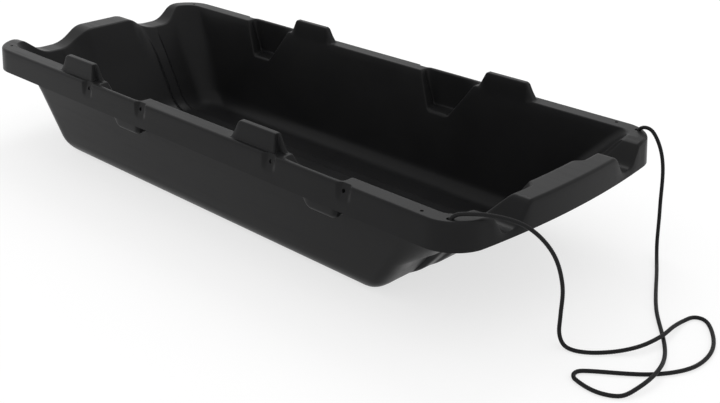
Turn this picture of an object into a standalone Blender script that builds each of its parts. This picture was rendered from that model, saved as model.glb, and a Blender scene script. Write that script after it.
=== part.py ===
"""Utility sled: one formed polyethylene tub with an interlocking rim, and its tow rope.

Metres, +Z up, +X towards the bow. The tub stands on its two runners at z = 0.
Near side of the sled = -Y. The origin is under the middle of the tub.
"""
import math

import bmesh
import bpy
from mathutils import Vector

MM = 0.001

# tub
HALF = 309.0           # half width at the outer corner of the rim
REAR, FRONT = -755.0, 755.0   # ends of the rim
DEPTH = 248.0          # runner underside to rim top
WALL = 4.0             # sheet thickness
SKIRT = 54.0           # height of the turned-down skirt
FLARE = 4.0            # how far the skirt leans out at its lower edge
RIM = 36.0             # rim, outer corner to inner wall
REAR_CORNER, FRONT_CORNER = 83.0, 62.0    # plan radii of the rim corners
BOW_CROWN = 24.8       # how far the bow's corners stand back from its middle
CROWN_FROM, CROWN_TO = 480.0, 690.0     # where that rounding of the bow fades in
SIDE_LEAN, STERN_LEAN, BOW_LEAN = 0.143, 0.55, 0.85   # inward run per mm of depth
SIDE_BEND, STERN_BEND, BOW_BEND = 40.0, 75.0, 95.0    # radii into the floor
BOW_SHELF = 4.0        # the bow wall starts this much further in than the others
REAR_ROUND = (47.0, 66.0, 50.0)     # plan radii of the stern corners inside: top, 0.4 down, floor
FRONT_ROUND = (30.0, 60.0, 50.0)    # and of the bow corners: top, 0.45 down, floor
CORNER_SPARE = 2.0     # least flat between a floor corner and the runner's inner edge
STEP = 15.0            # middle of the floor above the two runners
RUNNER_OFF = 162.5     # rim's outer corner to the runners' inner edge
STEP_RUN = 9.0         # run of the step between runner and middle
STEP_TOP, STEP_LOW = 30.0, 95.0    # depths between which the stern wall takes up that step
SIDE_EVEN, SIDE_LAST = 500.0, 560.0     # reach of the side walls' even part, and of their stations

# rim lugs and pockets: two pairs each side, a lug beside a pocket
FIRST_PAIR, PAIR_PITCH = 291.5, 605.0      # first pair from the stern end, and pair to pair
PAIRS = (REAR + FIRST_PAIR, REAR + FIRST_PAIR + PAIR_PITCH)
LUG = 161.0                # length of a lug or pocket along the rim
LUG_TALL, POCKET_DEEP = 36.0, 80.0
LUG_SIDE = 25.0            # run of a lug's sloping end
POCKET_SIDE = 54.0         # run of a pocket's sloping end, in line with the lug
POCKET_END = 11.0          # run of a pocket's steep end
LUG_TURN = 4.0             # easing at the top and foot of a lug's end
POCKET_TURN = 5.0          # and at the foot of a pocket's ends

# low places of the end rims, as (distance from the rim's side, share of the full depth)
SCALLOP_DEEP, NOTCH_DEEP = 36.5, 43.0
SCALLOP = [(68, 0), (91, 0.39), (100, 0.6), (113, 0.89), (122, 1), (180, 1), (187, 0.96),
           (201, 0.8), (224, 0.36), (247, 0.03), (255, 0)]
NOTCH = [(91, 0), (100, 0.13), (113, 0.71), (122, 0.93), (131, 1), (146, 1), (158, 0.96),
         (167, 0.72), (180, 0.1), (187, 0)]
END_SLOPE_FROM, END_SLOPE = 10.0, 25.0      # part of the end rims that leans with them
STERN_SWELL, BOW_SWELL = 26.0, 16.0     # middle of the end rims, inwards
SWELL_FULL, SWELL_END = 62.0, 108.0

# holes
TOW_HOLE_AT = (56.0, 23.0)      # from the rim's bow end and from its side
STERN_HOLE_AT = (56.0, 30.0)
BOW_HOLE_AT = (109.0, 15.0)
ROPE_HOLE, CORNER_HOLE, TIE_HOLE = 11.0, 7.0, 8.0    # diameters
TIE_OFF, TIE_DOWN = 12.0, 20.0     # tie-down holes from the pocket's ends, below the rim
DIMPLE, DIMPLE_DEEP = 20.0, 6.0    # half length and depth of the hollow round such a hole
DIMPLE_FLAT = 7.0                  # half length of its flat middle
CUT_FROM, CUT_LONG = 6.0, 20.0     # a hole's cutter starts this far outside and is this long

# rope
ROPE = 7.8             # diameter
KNOT_GAP = 0.4         # between a knot and the rope's end above it
KNOT_BACK, KNOT_IN = 2.0, 3.0      # a knot's middle from its hole
KNOT_TOP = 238.0       # top of the knots, under the rim
LIE = ROPE / 2 + 0.3   # height of the rope's middle where it lies on the ground
HUMP = LIE + ROPE + 1.0    # and where it passes over itself
# Route of the rope's middle from the near knot, over the bow, round its loops to the far knot.
ROUTE = [(699, -286, KNOT_TOP + KNOT_GAP), (699, -286, 247), (703, -283, 254.5),
         (714, -273, 257), (748, -241, 255), (792, -202, 237), (822, -165, 187),
         (833, -143, 120), (829, -135, 50), (831, -137, 20), (845, -142, LIE + 2),
         (870, -139, LIE), (915, -102, LIE + 1.5), (944, -63, HUMP - 1.5), (955, -8, HUMP),
         (951, 42, LIE + 5.5), (950, 83, LIE), (957, 107, LIE), (972, 110, LIE),
         (1005, 80, LIE), (1036, 20, LIE), (1038, -45, LIE), (1005, -106, LIE),
         (906, -189, LIE), (903, -204, LIE), (921, -214, LIE), (965, -219, LIE),
         (997, -203, LIE), (1009, -165, HUMP - 3), (1008, -110, HUMP), (985, -46, LIE + 2),
         (890, 86, LIE), (802, 236, LIE), (776, 276, 26), (767, 287, 100), (754, 291, 212),
         (728, 289, 254), (709, 288, 256.5), (700.5, 286.5, 252.5), (699, 286, 246),
         (699, 286, KNOT_TOP + KNOT_GAP)]
ROPE_STEP = 3.6 * ROPE     # about the longest stretch between the rope's points


def smooth(a, b, x):
    """0 before a, 1 after b, rounded between them."""
    t = min(max((x - a) / (b - a), 0.0), 1.0)
    return t * t * (3.0 - 2.0 * t)


def along(points, x):
    """Value at x of a line through points, given as (x, value)."""
    if x <= points[0][0]:
        return points[0][1]
    for (x0, v0), (x1, v1) in zip(points, points[1:]):
        if x <= x1:
            return v0 + (v1 - v0) * (x - x0) / (x1 - x0)
    return points[-1][1]


# Cross-section of the rim from the skirt's edge to the tub wall:
# (inward distance from the rim's outer corner, height above the rim).
FLAT = [(-FLARE, -SKIRT), (-2.2, -30), (-0.4, -5.5), (1.2, -1.6), (5.5, 0), (10, 0),
        (14, 0), (19, 0), (24, 0), (28, 0), (32, -0.3), (35.5, -2.4), (37, -7)]
ENDS = [(-FLARE, -SKIRT), (-2.2, -30), (-0.4, -5.5), (1.2, -1.6), (5.5, 0), (10, 0),
        (14, 0), (18, 0), (22, 0), (26, 0), (31, -0.6), (36, -4), (39, -11)]
TALL = [(-FLARE, -SKIRT), (-2.2, -30), (-0.4, -5.5), (1.2, -1.6), (5.5, 0), (9.5, 0),
        (12.5, 1.5), (18.5, 31), (21, LUG_TALL - 1), (25.5, LUG_TALL), (29.5, LUG_TALL - 1),
        (32, 31), (36.5, -5)]
DEEP = [(-FLARE, -SKIRT), (-2.2, -30), (-0.4, -5.5), (1.2, -1.6), (5.5, 0), (9.8, -1.6),
        (11.4, -5.5), (13.5, 8 - POCKET_DEEP), (20, -POCKET_DEEP), (39, -3 - POCKET_DEEP),
        (44, -5 - POCKET_DEEP), (47.5, -8 - POCKET_DEEP), (49.3, -13 - POCKET_DEEP)]
LAG = [0, 0, 0, 0, 0, 0, 0, 0, 0, 0, 1.5, 5, 10]      # rounds the pocket's steep end in plan
DIMPLE_ROW = [0, 0.5, 1, 1, 1, 0.85, 0.7, 0.4, 0.2, 0, 0, 0, 0]
RIM_ROWS = len(FLAT)

# Rows of the wall below the rim, by depth under the rim, down to the runner floor.
FLOOR = DEPTH - WALL
UNDER_POCKET = POCKET_DEEP + 24.0
WALL_ROWS = [UNDER_POCKET, FLOOR - 44.0, FLOOR - 33.0, FLOOR - 17.0, FLOOR - 5.0, FLOOR]
STEP_IN, STEP_OUT = HALF - RUNNER_OFF - STEP_RUN / 2, HALF - RUNNER_OFF + STEP_RUN / 2


def band(side, x):
    """Shape of the rim band at x: (lug share, pocket share by row) for side -1 or +1."""
    lug, pocket = 0.0, [0.0] * RIM_ROWS
    top, turn = LUG_SIDE, LUG_TURN
    for start in PAIRS:
        first, last = start, start + 2 * LUG
        mid = start + LUG
        if side < 0:
            a, b, steep, slope = first, mid, last, mid
        else:
            a, b, steep, slope = mid, last, first, mid
        lug = max(lug, along([(a, 0), (a + top - turn, 0.88), (a + top, 0.98),
                              (a + top + turn, 1), (b - top - turn, 1), (b - top, 0.98),
                              (b - top + turn, 0.88), (b, 0)], x))
        way = 1.0 if side < 0 else -1.0
        for row in range(RIM_ROWS):
            u = (x - slope) * way
            wide = (steep - slope) * way + LAG[row]
            share = along([(0, 0), (POCKET_SIDE - POCKET_TURN, 0.92), (POCKET_SIDE + POCKET_TURN, 1),
                           (wide - POCKET_END, 1), (wide - POCKET_TURN / 2, 0.1), (wide, 0.03),
                           (wide + POCKET_TURN, 0)], u)
            pocket[row] = max(pocket[row], share)
    return lug, pocket


def hollow(side, x):
    """Share of the tie-down hollow at x."""
    share = 0.0
    for start in PAIRS:
        mid = start + LUG
        spots = (mid - TIE_OFF, start + 2 * LUG + TIE_OFF)
        if side > 0:
            spots = (mid + TIE_OFF, start - TIE_OFF)
        for spot in spots:
            share = max(share, 1.0 - smooth(DIMPLE_FLAT, DIMPLE, abs(x - spot)))
    return share


def low(end, y):
    """Depth of the low place of an end rim at y; end is -1 stern, +1 bow."""
    if end < 0:
        return SCALLOP_DEEP * along(SCALLOP, HALF - abs(y))
    return NOTCH_DEEP * along(NOTCH, HALF - abs(y))


def side_section(side, x):
    lug, pocket = band(side, x)
    dent = hollow(side, x)
    rows = []
    for row in range(RIM_ROWS):
        (w, z), (tw, tz), (dw, dz) = FLAT[row], TALL[row], DEEP[row]
        w += lug * (tw - w) + pocket[row] * (dw - w)
        z += lug * (tz - z) + pocket[row] * (dz - z)
        rows.append((w + dent * DIMPLE_DEEP * DIMPLE_ROW[row], z))
    return rows


def end_section(end, y):
    drop = low(end, y)
    lean = STERN_LEAN if end < 0 else BOW_LEAN
    swell = STERN_SWELL if end < 0 else BOW_SWELL
    swell *= 1.0 - smooth(SWELL_FULL, SWELL_END, abs(y))
    rows = []
    for w, z in ENDS:
        share = min(max((w - END_SLOPE_FROM) / END_SLOPE, 0.0), 1.0)
        w += share * (lean * drop + swell)
        z -= drop * min(max((z + SKIRT) / (SKIRT - 5.5), 0.0), 1.0)
        rows.append((w, z))
    return rows


def inset(depth, lean, bend, start=RIM):
    """Inward distance of the tub's inner face at a depth, and its slope angle."""
    up = FLOOR - depth
    root = math.hypot(1.0, lean)
    foot = start + lean * FLOOR + bend * (root - lean)
    if up < bend * (1.0 - lean / root):
        run = math.sqrt(max(2 * bend * up - up * up, 0.0))
        return foot - run, math.atan2(run, bend - up)
    return start + lean * depth, math.atan2(1.0, lean)


def crown(x, y):
    """Bring the bow back towards its corners."""
    return x - BOW_CROWN * (y / HALF) ** 2 * smooth(CROWN_FROM, CROWN_TO, x)


def pair_stations():
    """Stations of a lug and its pocket, from the lug's outer end."""
    top, end = LUG_SIDE, 2 * LUG
    return [0, top - LUG_TURN, top + LUG_TURN, LUG - top - LUG_TURN, LUG - top + LUG_TURN,
            LUG - TIE_OFF, LUG, LUG + TIE_OFF - 2, LUG + POCKET_SIDE - POCKET_TURN,
            LUG + POCKET_SIDE + POCKET_TURN, end - POCKET_END, end - POCKET_TURN - 1, end - 2,
            end + 2, end + 7, end + TIE_OFF + 2, end + TIE_OFF + 11, end + TIE_OFF + DIMPLE]


NEAR_X = sorted([-SIDE_LAST] + [pair + x for pair in PAIRS for x in pair_stations()] + [SIDE_LAST])
FAR_X = sorted([-SIDE_LAST] + [pair + 2 * LUG - x for pair in PAIRS for x in pair_stations()]
               + [SIDE_LAST])
FULL_LOW = HALF - 131.0       # y of a station where both low places are at full depth
END_Y = [0, 40, SWELL_FULL, 85, SWELL_END, FULL_LOW] + [HALF - d for d, share in NOTCH]
END_Y = sorted({-y for y in END_Y} | set(END_Y))
ARC = 3                # steps in half a corner


def stations():
    """Stations round the rim: (kind, value) from the near stern corner, anticlockwise."""
    out = []
    for kind, values in (("near", NEAR_X), ("bow", END_Y), ("far", FAR_X[::-1]),
                         ("stern", END_Y[::-1])):
        out += [(kind, v) for v in values]
        out += [(kind + " corner", k / (2.0 * ARC)) for k in range(2 * ARC + 1)]
    return out


def ring(depth):
    """Insets, slope angles and corner radii of the tub wall at a depth."""
    side, side_tilt = inset(depth, SIDE_LEAN, SIDE_BEND)
    rear, rear_tilt = inset(depth, STERN_LEAN, STERN_BEND)
    bow, bow_tilt = inset(depth, BOW_LEAN, BOW_BEND, RIM + BOW_SHELF)
    part = depth / FLOOR
    most = HALF - side - STEP_OUT - CORNER_SPARE
    rear_radius = min(along(list(zip((0, 0.4, 1), REAR_ROUND)), part), most)
    bow_radius = min(along(list(zip((0, 0.45, 1), FRONT_ROUND)), part), most)
    return side, rear, bow, rear_radius, bow_radius, rear_tilt, bow_tilt


def place(kind, value, size, fixed=True):
    """Plan point of a station on a rounded rectangle (side, rear, bow insets, radii)."""
    side, rear, bow, rear_radius, bow_radius = size
    half, x0, x1 = HALF - side, REAR + rear, FRONT - bow
    sx0, sx1 = x0 + rear_radius, x1 - bow_radius
    if kind in ("near", "far"):
        top0, top1 = REAR + REAR_CORNER, FRONT - FRONT_CORNER
        inner0, inner1 = max(-SIDE_EVEN, 0.92 * sx0), min(SIDE_EVEN, 0.92 * sx1)
        x = along([(top0, sx0), (-SIDE_EVEN, inner0), (SIDE_EVEN, inner1), (top1, sx1)], value)
        return x, (-half if kind == "near" else half)
    if kind in ("bow", "stern"):
        radius = bow_radius if kind == "bow" else rear_radius
        outer = HALF - (FRONT_CORNER if kind == "bow" else REAR_CORNER)
        y = along([(0, 0), (STEP_OUT, STEP_OUT), (outer, half - radius)], abs(value))
        return (x1 if kind == "bow" else x0), math.copysign(y, value)
    turn = {"near": -90.0, "bow": 0.0, "far": 90.0, "stern": 180.0}[kind.split()[0]]
    angle = math.radians(turn + 90.0 * value)
    radius = bow_radius if turn in (-90.0, 0.0) else rear_radius
    cx = sx1 if turn in (-90.0, 0.0) else sx0
    cy = (half - radius) * (-1.0 if turn in (-90.0, 180.0) else 1.0)
    return cx + radius * math.cos(angle), cy + radius * math.sin(angle)


def rim_point(kind, value, w, z):
    x, y = place(kind, value, (w, w, w, REAR_CORNER - w, FRONT_CORNER - w))
    return crown(x, y), y, DEPTH + z


def wall_point(kind, value, depth):
    side, rear, bow, rear_radius, bow_radius, rear_tilt, bow_tilt = ring(depth)
    x, y = place(kind, value, (side, rear, bow, rear_radius, bow_radius))
    z = DEPTH - depth
    if kind in ("bow", "stern"):
        part = depth / FLOOR
        if kind == "bow":
            full = SWELL_FULL + (STEP_IN - SWELL_FULL) * part
            none = SWELL_END + (STEP_OUT - SWELL_END) * part
            size, tilt, way = STEP, bow_tilt, -1.0
        else:
            full, none = STEP_IN, STEP_OUT
            size, tilt, way = STEP * smooth(STEP_TOP, STEP_LOW, depth), rear_tilt, 1.0
        share = size * (1.0 - smooth(full, none, abs(y)))
        x += way * share * math.sin(tilt)
        z += share * math.cos(tilt)
    return crown(x, y), y, z


def tub():
    """Closed shell of the tub: upper face by rows, lower face one sheet thickness away."""
    spots = stations()
    count = len(spots)
    rows = []
    for k, (kind, value) in enumerate(spots):
        if kind in ("near", "far"):
            section = side_section(-1 if kind == "near" else 1, value)
        elif kind in ("bow", "stern"):
            section = end_section(1 if kind == "bow" else -1, value)
        else:
            section = FLAT
        column = [rim_point(kind, value, w, z) for w, z in section]
        column += [wall_point(kind, value, depth) for depth in WALL_ROWS]
        rows.append(column)
    bm = bmesh.new()
    grid = [[bm.verts.new([c * MM for c in p]) for p in column] for column in rows]
    last = RIM_ROWS + len(WALL_ROWS) - 1
    sparse = [kind in ("near", "far") and abs(value) > SIDE_EVEN
              or kind in ("bow", "stern") and (abs(value) <= STEP_OUT or abs(value) == FULL_LOW)
              or "corner" in kind for kind, value in spots]
    for row in range(last):
        thin_up, thin_down = row > RIM_ROWS, row >= RIM_ROWS
        if not thin_down:
            for k in range(count):
                n = (k + 1) % count
                bm.faces.new((grid[k][row], grid[n][row], grid[n][row + 1], grid[k][row + 1]))
            continue
        k = next(i for i in range(count) if sparse[i])
        first = k
        while True:
            n = (k + 1) % count
            between = []
            while not sparse[n]:
                between.append(n)
                n = (n + 1) % count
            upper = [grid[k][row]]
            if not thin_up:
                upper += [grid[i][row] for i in between]
            upper += [grid[n][row]]
            bm.faces.new(upper + [grid[n][row + 1], grid[k][row + 1]])
            k = n
            if k == first:
                break
    floor(bm, spots, grid, last, sparse)
    loose = [v for v in bm.verts if not v.link_faces]
    bmesh.ops.delete(bm, geom=loose, context="VERTS")
    bmesh.ops.recalc_face_normals(bm, faces=bm.faces)
    middle = max(bm.faces, key=lambda f: f.calc_area())
    if middle.normal.z < 0:
        bmesh.ops.reverse_faces(bm, faces=bm.faces)
    bm.normal_update()
    return thicken(bm)


def floor(bm, spots, grid, last, sparse):
    """Flat strips of the floor from the stern row to the bow row."""
    bow = {value: k for k, (kind, value) in enumerate(spots) if kind == "bow"}
    stern = {value: k for k, (kind, value) in enumerate(spots) if kind == "stern"}
    lines = [y for y in END_Y if abs(y) <= STEP_OUT]
    for y0, y1 in zip(lines, lines[1:]):
        bm.faces.new([grid[k][last] for k in (stern[y0], bow[y0], bow[y1], stern[y1])])
    for y, step in ((lines[0], 1), (lines[-1], -1)):
        loop, k = [grid[stern[y]][last]], stern[y]
        while k != bow[y]:
            k = (k + step) % len(spots)
            if sparse[k]:
                loop.append(grid[k][last])
        bm.faces.new(loop)


def thicken(bm):
    """Close the shell with a lower face one sheet thickness away."""
    upper = list(bm.verts)
    edges = [e for e in bm.edges if e.is_boundary]
    faces = list(bm.faces)
    lower = {}
    for v in upper:
        reach = WALL * MM * min(v.calc_shell_factor(), 1.1)
        lower[v] = bm.verts.new(v.co - v.normal * reach)
    for e in edges:
        for v in e.verts:
            lower[v].co.z = v.co.z
    for f in faces:
        bm.faces.new([lower[v] for v in reversed(f.verts)])
    for e in edges:
        loop = e.link_loops[0]
        a, b = loop.vert, loop.link_loop_next.vert
        bm.faces.new((b, a, lower[a], lower[b]))
    bmesh.ops.recalc_face_normals(bm, faces=bm.faces)
    return bm


def material(name, colour, rough):
    mat = bpy.data.materials.new(name)
    mat.use_nodes = True
    shader = mat.node_tree.nodes["Principled BSDF"]
    shader.inputs["Base Color"].default_value = (*colour, 1.0)
    shader.inputs["Roughness"].default_value = rough
    return mat


def add(name, bm, mat=None):
    mesh = bpy.data.meshes.new(name)
    bm.to_mesh(mesh)
    bm.free()
    if mat:
        mesh.materials.append(mat)
    obj = bpy.data.objects.new(name, mesh)
    bpy.context.scene.collection.objects.link(obj)
    return obj


def cut(target, name, diameter, start, axis, length):
    """A round hole through target from start along axis."""
    bm = bmesh.new()
    bmesh.ops.create_cone(bm, cap_ends=True, segments=14, radius1=diameter * MM / 2,
                          radius2=diameter * MM / 2, depth=length * MM)
    turn = Vector(axis).to_track_quat("Z", "Y").to_matrix()
    middle = (Vector(start) + Vector(axis).normalized() * (length / 2)) * MM
    for v in bm.verts:
        v.co = turn @ v.co + middle
    tool = add(name, bm)
    tool.hide_render = True
    tool.display_type = "WIRE"
    mod = target.modifiers.new(name, "BOOLEAN")
    mod.operation, mod.solver, mod.object = "DIFFERENCE", "EXACT", tool


def smooth_route():
    """Points read from a smooth curve through the route."""
    ends = [ROUTE[0]] + ROUTE + [ROUTE[-1]]
    out = []
    for a, b, c, d in zip(ends, ends[1:], ends[2:], ends[3:]):
        a, b, c, d = Vector(a), Vector(b), Vector(c), Vector(d)
        chord = (c - b).length
        before, after = max((b - a).length, chord / 3), max((d - c).length, chord / 3)
        at_b = ((b - a) / before + (c - b) / chord) / 2
        at_c = ((c - b) / chord + (d - c) / after) / 2
        steps = max(1, round(chord / ROPE_STEP))
        for k in range(steps):
            t = k / steps
            point = (b * (1 + 2 * t) * (1 - t) ** 2 + c * t * t * (3 - 2 * t)
                     + chord * t * (1 - t) * (at_b * (1 - t) - at_c * t))
            point.z = max(point.z, LIE)
            out.append(point)
    return out + [Vector(ROUTE[-1])]


def rope(mat):
    """The tow rope as one cord along its route."""
    curve = bpy.data.curves.new("tow_rope", "CURVE")
    curve.dimensions = "3D"
    curve.bevel_depth, curve.bevel_resolution = ROPE * MM / 2, 2
    curve.use_fill_caps = True
    line = curve.splines.new("POLY")
    route = smooth_route()
    line.points.add(len(route) - 1)
    for point, at in zip(line.points, route):
        point.co = (*(at * MM), 1.0)
    curve.materials.append(mat)
    obj = bpy.data.objects.new("tow_rope", curve)
    bpy.context.scene.collection.objects.link(obj)


def knot(name, x, y, mat):
    """A tight overhand knot as one rounded lump: the reach of its turns from its middle."""
    turns = []
    for k in range(48):
        t = 2 * math.pi * k / 48
        ring_radius = 4.6 + 2.3 * math.cos(3 * t)
        turns.append(Vector((ring_radius * math.cos(2 * t), ring_radius * math.sin(2 * t),
                             3.4 * math.sin(3 * t))))
    bm = bmesh.new()
    bmesh.ops.create_uvsphere(bm, u_segments=22, v_segments=13, radius=1.0)
    for v in bm.verts:
        way = v.co.normalized()
        reach = 3.0
        for turn in turns:
            ahead = turn.dot(way)
            inside = (ROPE / 2) ** 2 - (turn.length_squared - ahead * ahead)
            if inside > 0:
                reach = max(reach, ahead + math.sqrt(inside))
        v.co = way * reach
    top = max(v.co.z for v in bm.verts)
    for v in bm.verts:
        v.co = (v.co + Vector((x, y, KNOT_TOP - top))) * MM
    add(name, bm, mat)


def build():
    for obj in list(bpy.data.objects):
        bpy.data.objects.remove(obj)
    plastic = material("black_polyethylene", (0.018, 0.018, 0.019), 0.38)
    hull = add("hull", tub(), plastic)
    above = DEPTH + CUT_FROM
    for side, name in ((-1, "near"), (1, "far")):
        for end, (back, off), tag, size in ((1, TOW_HOLE_AT, "rope", ROPE_HOLE),
                                            (-1, STERN_HOLE_AT, "stern", CORNER_HOLE),
                                            (1, BOW_HOLE_AT, "bow", CORNER_HOLE)):
            x = (FRONT if end > 0 else REAR) - end * back
            start = (x, side * (HALF - off), above)
            cut(hull, "cut_%s_%s" % (tag, name), size, start, (0, 0, -1), CUT_LONG)
        for k, pair in enumerate(PAIRS):
            spots = (pair + LUG - TIE_OFF, pair + 2 * LUG + TIE_OFF)
            if side > 0:
                spots = (pair + LUG + TIE_OFF, pair - TIE_OFF)
            for n, x in enumerate(spots):
                start = (x, side * (HALF + CUT_FROM), DEPTH - TIE_DOWN)
                cut(hull, "cut_tie_%s_%d_%d" % (name, k, n), TIE_HOLE, start, (0, -side, 0),
                    CUT_LONG)
    fibre = material("dark_braided_rope", (0.05, 0.05, 0.055), 0.8)
    rope(fibre)
    for side, name in ((-1, "knot_near"), (1, "knot_far")):
        knot(name, FRONT - TOW_HOLE_AT[0] - KNOT_BACK, side * (HALF - TOW_HOLE_AT[1] - KNOT_IN),
             fibre)


build()
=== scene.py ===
"""Looks of the utility sled: its camera, tow rope and knots, formed tub, materials and stage.

Lengths are in millimetres until a mesh is written, and in metres for the camera, the stage and
materials. +X is the bow, -Y the near side, +Z up.
"""

import math

import bmesh
import bpy
import numpy as np
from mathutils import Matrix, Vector


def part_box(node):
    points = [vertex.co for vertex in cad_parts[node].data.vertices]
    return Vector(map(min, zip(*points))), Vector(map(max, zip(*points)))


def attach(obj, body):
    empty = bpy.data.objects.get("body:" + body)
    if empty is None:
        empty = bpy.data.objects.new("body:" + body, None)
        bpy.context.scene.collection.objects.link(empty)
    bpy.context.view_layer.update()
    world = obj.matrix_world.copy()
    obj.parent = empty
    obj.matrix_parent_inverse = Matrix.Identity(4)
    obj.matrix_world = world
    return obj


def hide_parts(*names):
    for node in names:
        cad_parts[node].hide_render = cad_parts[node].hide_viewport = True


MM = 0.001
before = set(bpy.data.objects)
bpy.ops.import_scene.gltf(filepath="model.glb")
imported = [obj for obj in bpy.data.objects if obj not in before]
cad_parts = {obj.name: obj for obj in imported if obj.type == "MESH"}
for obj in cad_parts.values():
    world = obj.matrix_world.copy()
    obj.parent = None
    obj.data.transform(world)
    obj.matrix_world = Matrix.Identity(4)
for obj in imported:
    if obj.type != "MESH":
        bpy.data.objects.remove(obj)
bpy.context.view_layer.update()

# Helpers

LONGEST = 20.0         # most length of a straight piece
CUT_SHARE = 0.49       # most of a straight that one rounding takes
LEAST_TURN = 0.02      # keeps a rounding's weight above nothing where the line turns back


def smooth(a, b, x):
    """0 at a, 1 at b, rounded between them."""
    t = min(max((x - a) / (b - a), 0.0), 1.0)
    return t * t * (3.0 - 2.0 * t)


def along(points, x):
    """Value at x of a line through points, given as (x, value)."""
    if x <= points[0][0]:
        return points[0][1]
    for (x0, v0), (x1, v1) in zip(points, points[1:]):
        if x <= x1:
            return v0 + (v1 - v0) * (x - x0) / (x1 - x0)
    return points[-1][1]


def mix(a, b, t):
    """a where t is 0, b where it is 1."""
    return a + (b - a) * t


def rounded(corners, steps, splits=None):
    """Points along the line through corners (x, y, cut), each inner corner an arc that starts
    cut before it. steps is an arc's count of pieces and splits has each straight's, which is
    else as many as LONGEST needs."""
    out = [tuple(corners[0][:2])]
    for i in range(1, len(corners)):
        x, y, cut = corners[i]
        px, py = corners[i - 1][:2]
        before = math.hypot(x - px, y - py)
        final = i == len(corners) - 1
        if final:
            start = (x, y)
        else:
            nx, ny = corners[i + 1][:2]
            after = math.hypot(nx - x, ny - y)
            cut = min(cut, CUT_SHARE * before, CUT_SHARE * after)
            start = (x + (px - x) * cut / before, y + (py - y) * cut / before)
            stop = (x + (nx - x) * cut / after, y + (ny - y) * cut / after)
        from_x, from_y = out[-1]
        run = math.hypot(start[0] - from_x, start[1] - from_y)
        count = splits[i - 1] if splits else max(1, math.ceil(run / LONGEST))
        for k in range(1, count):
            out.append((mix(from_x, start[0], k / count), mix(from_y, start[1], k / count)))
        if final:
            out.append(start)
            break
        turn = ((x - px) * (nx - x) + (y - py) * (ny - y)) / (before * after)
        weight = math.sqrt(max((1.0 + turn) / 2.0, LEAST_TURN))
        for k in range(steps + 1):
            u = k / steps
            a, b, c = (1 - u) ** 2, 2 * u * (1 - u) * weight, u * u
            total = a + b + c
            out.append(((a * start[0] + b * x + c * stop[0]) / total,
                        (a * start[1] + b * y + c * stop[1]) / total))
    return out


def thinned(values, least):
    """The values in order, without those closer than least to the one kept before them."""
    out = []
    for v in sorted(values):
        if not out or v - out[-1] >= least:
            out.append(v)
    return out


def add(name, data, *mats):
    """A new object in the scene, with its materials."""
    for mat in mats:
        data.materials.append(mat)
    obj = bpy.data.objects.new(name, data)
    bpy.context.scene.collection.objects.link(obj)
    return obj


def aim(obj, at, ahead):
    """Put a camera or a lamp at a place, looking ahead."""
    obj.location = at
    obj.rotation_mode = "QUATERNION"
    obj.rotation_quaternion = ahead.to_track_quat("-Z", "Y")


# Camera

CAMERA_AT = (1.738676, -1.557327, 1.025840)
CAMERA_YAW, CAMERA_PITCH = 0.774382138, 0.428214958     # left of +Y, and down
CAMERA_LENS, SENSOR = 55.4892, 36.0
NEAREST, FURTHEST = 0.01, 200.0

camera = add("camera", bpy.data.cameras.new("camera"))
aim(camera, CAMERA_AT, Vector((-math.sin(CAMERA_YAW) * math.cos(CAMERA_PITCH),
                               math.cos(CAMERA_YAW) * math.cos(CAMERA_PITCH),
                               -math.sin(CAMERA_PITCH))))
camera.data.sensor_width = SENSOR
camera.data.lens = CAMERA_LENS
camera.data.clip_start, camera.data.clip_end = NEAREST, FURTHEST
bpy.context.scene.camera = camera


# Materials

def new_material(name, colour, rough):
    """A material and its shader, with the colour and roughness that its nodes then vary."""
    mat = bpy.data.materials.new(name)
    mat.use_nodes = True
    shader = mat.node_tree.nodes["Principled BSDF"]
    shader.inputs["Base Color"].default_value = (*colour, 1.0)
    shader.inputs["Roughness"].default_value = rough
    return mat, shader


def node(owner, kind, **values):
    """A new node of a material or world, its properties and inputs (spaces as _) set by name."""
    made = owner.node_tree.nodes.new(kind)
    for key, value in values.items():
        if hasattr(made, key):
            setattr(made, key, value)
        else:
            made.inputs[key.replace("_", " ")].default_value = value
    return made


def link(owner, source, target):
    """Join an output to an input."""
    owner.node_tree.links.new(source, target)


def math_node(owner, operation, *values):
    """Output of a math node that numbers or other nodes' outputs feed."""
    made = node(owner, "ShaderNodeMath", operation=operation)
    for socket, value in zip(made.inputs, values):
        if isinstance(value, float):
            socket.default_value = value
        else:
            link(owner, value, socket)
    return made.outputs[0]


def ramp(mat, source, stops):
    """Colour of a ramp of (place, grey or colour) stops fed by source."""
    made = node(mat, "ShaderNodeValToRGB")
    band = made.color_ramp
    while len(band.elements) < len(stops):
        band.elements.new(0.5)
    for element, (at, value) in zip(band.elements, stops):
        element.position = at
        colour = value if isinstance(value, tuple) else (value,) * 3
        element.color = (*colour, 1.0)
    link(mat, source, made.inputs["Fac"])
    return made.outputs["Color"]


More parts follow.
